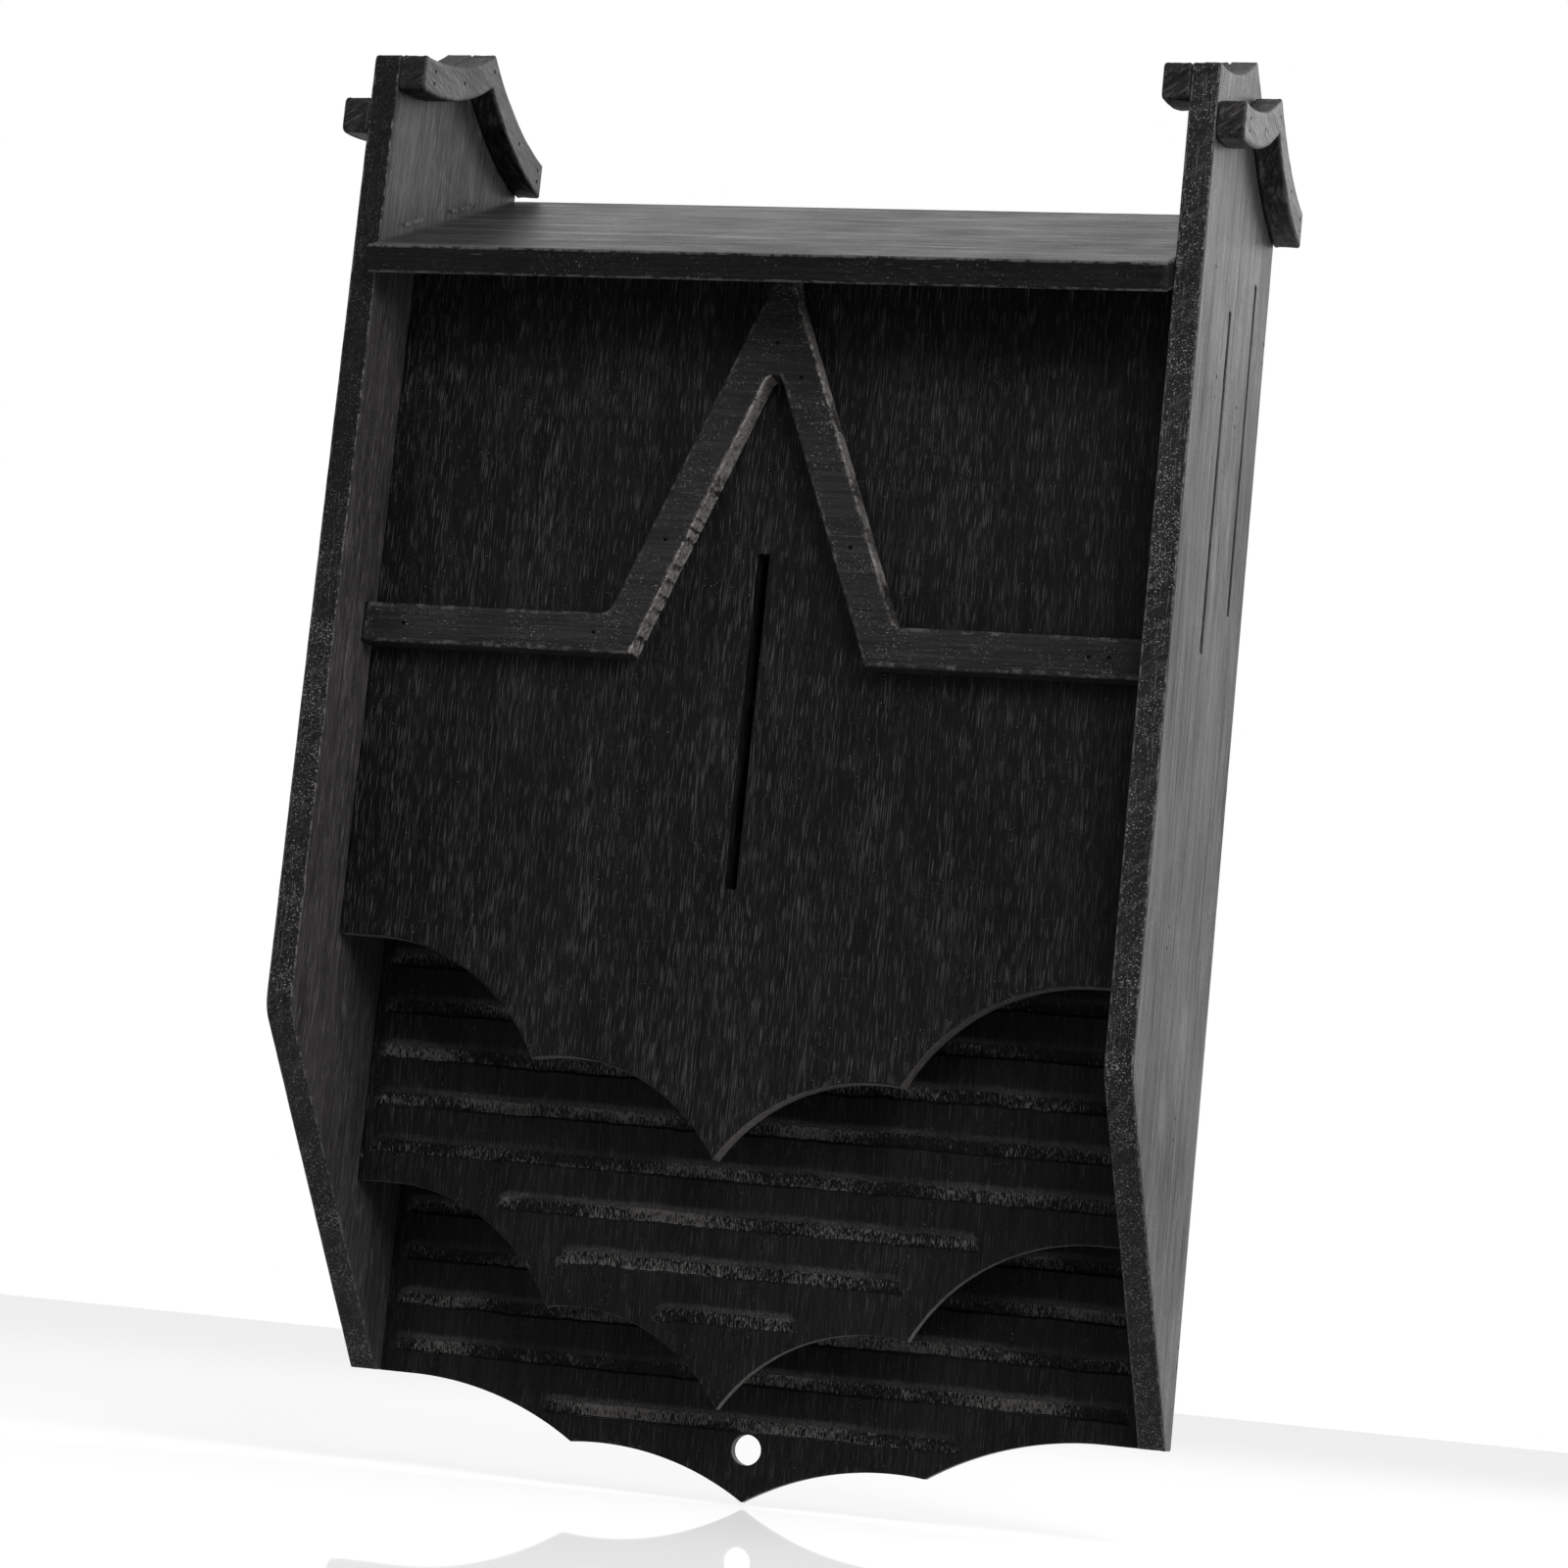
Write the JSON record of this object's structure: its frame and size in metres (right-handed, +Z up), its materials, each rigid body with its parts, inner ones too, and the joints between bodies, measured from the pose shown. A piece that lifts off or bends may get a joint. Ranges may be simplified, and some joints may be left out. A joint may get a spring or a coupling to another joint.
{
  "type": "bat box",
  "caption": "Wall-hung wooden bat box with a sloping roof, open-bottomed chambers, scalloped boards and winged side boards.",
  "frame": {"origin": "on the rear face, on the centre line, level with the bottom ends of the side boards", "axes": "+Z up, +Y back into the wall, +X to the right seen from the front"},
  "size_m": [0.296, 0.1274, 0.4728],
  "materials": {
    "stained_side": "black stain, satin, grain upright",
    "stained_wing": "black stain, matte, saw marks left on",
    "stained_roof": "black stain, satin, grain from side to side",
    "stained_front": "black stain, matte, fine upright grain",
    "stained_chevron": "black stain, matte",
    "stained_grooved": "black stain, matte, torn groove edges",
    "brad_wire": "stained over, dull"
  },
  "bodies": {
    "root": {"side_board_left": "stained_side", "side_board_right": "stained_side", "inner_wing_left": "stained_wing", "outer_wing_left": "stained_wing", "inner_wing_right": "stained_wing", "outer_wing_right": "stained_wing", "roof": "stained_roof", "front_board": "stained_front", "chevron": "stained_chevron", "baffle": "stained_grooved", "back": "stained_grooved", "front_board_brads": "brad_wire", "baffle_brads": "brad_wire", "back_brads": "brad_wire", "roof_brads": "brad_wire", "outer_wing_brads": "brad_wire", "inner_wing_brads": "brad_wire", "chevron_brads": "brad_wire"}
  },
  "joints": []
}
